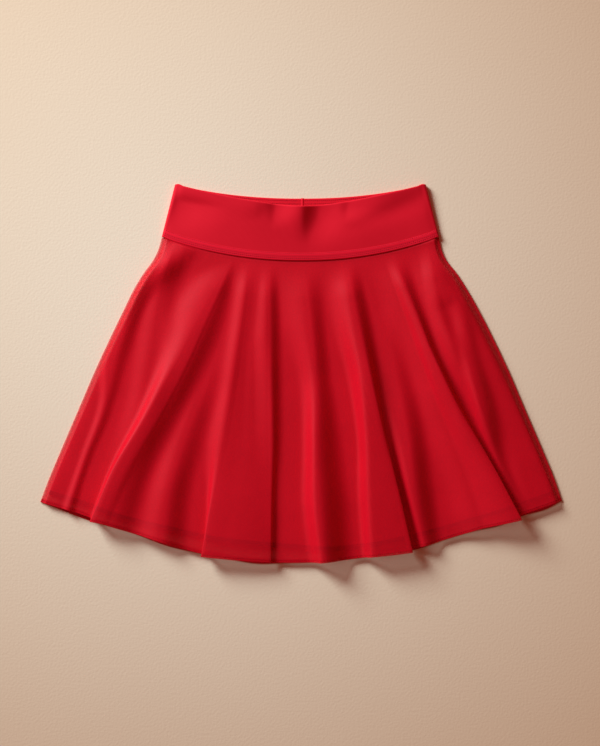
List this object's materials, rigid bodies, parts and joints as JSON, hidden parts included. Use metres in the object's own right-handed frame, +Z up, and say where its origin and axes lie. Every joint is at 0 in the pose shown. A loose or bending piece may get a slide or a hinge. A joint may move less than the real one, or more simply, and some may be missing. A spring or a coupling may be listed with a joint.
{
  "type": "skater skirt",
  "caption": "Flared skater skirt laid flat, with a wide knit waistband, a sheer folded outer layer and a knit lining.",
  "frame": {"origin": "on the surface that the skirt lies on, in the middle of its outline", "axes": "+X across the skirt to the right of its front as seen from above, +Y to the waist, +Z up from the surface"},
  "size_m": [0.6276, 0.4562, 0.0231],
  "materials": {
    "band_knit": "matt smooth double knit, red",
    "sheer_net": "fine sheer net with a slight sheen, red",
    "lining_knit": "matt plain knit, deep red"
  },
  "bodies": {
    "root": {"waistband_front": "band_knit", "waistband_back": "band_knit", "waist_seam_strip": "band_knit", "skirt_front": "sheer_net", "skirt_back": "sheer_net", "lining_front": "lining_knit", "lining_back": "lining_knit"}
  },
  "joints": []
}
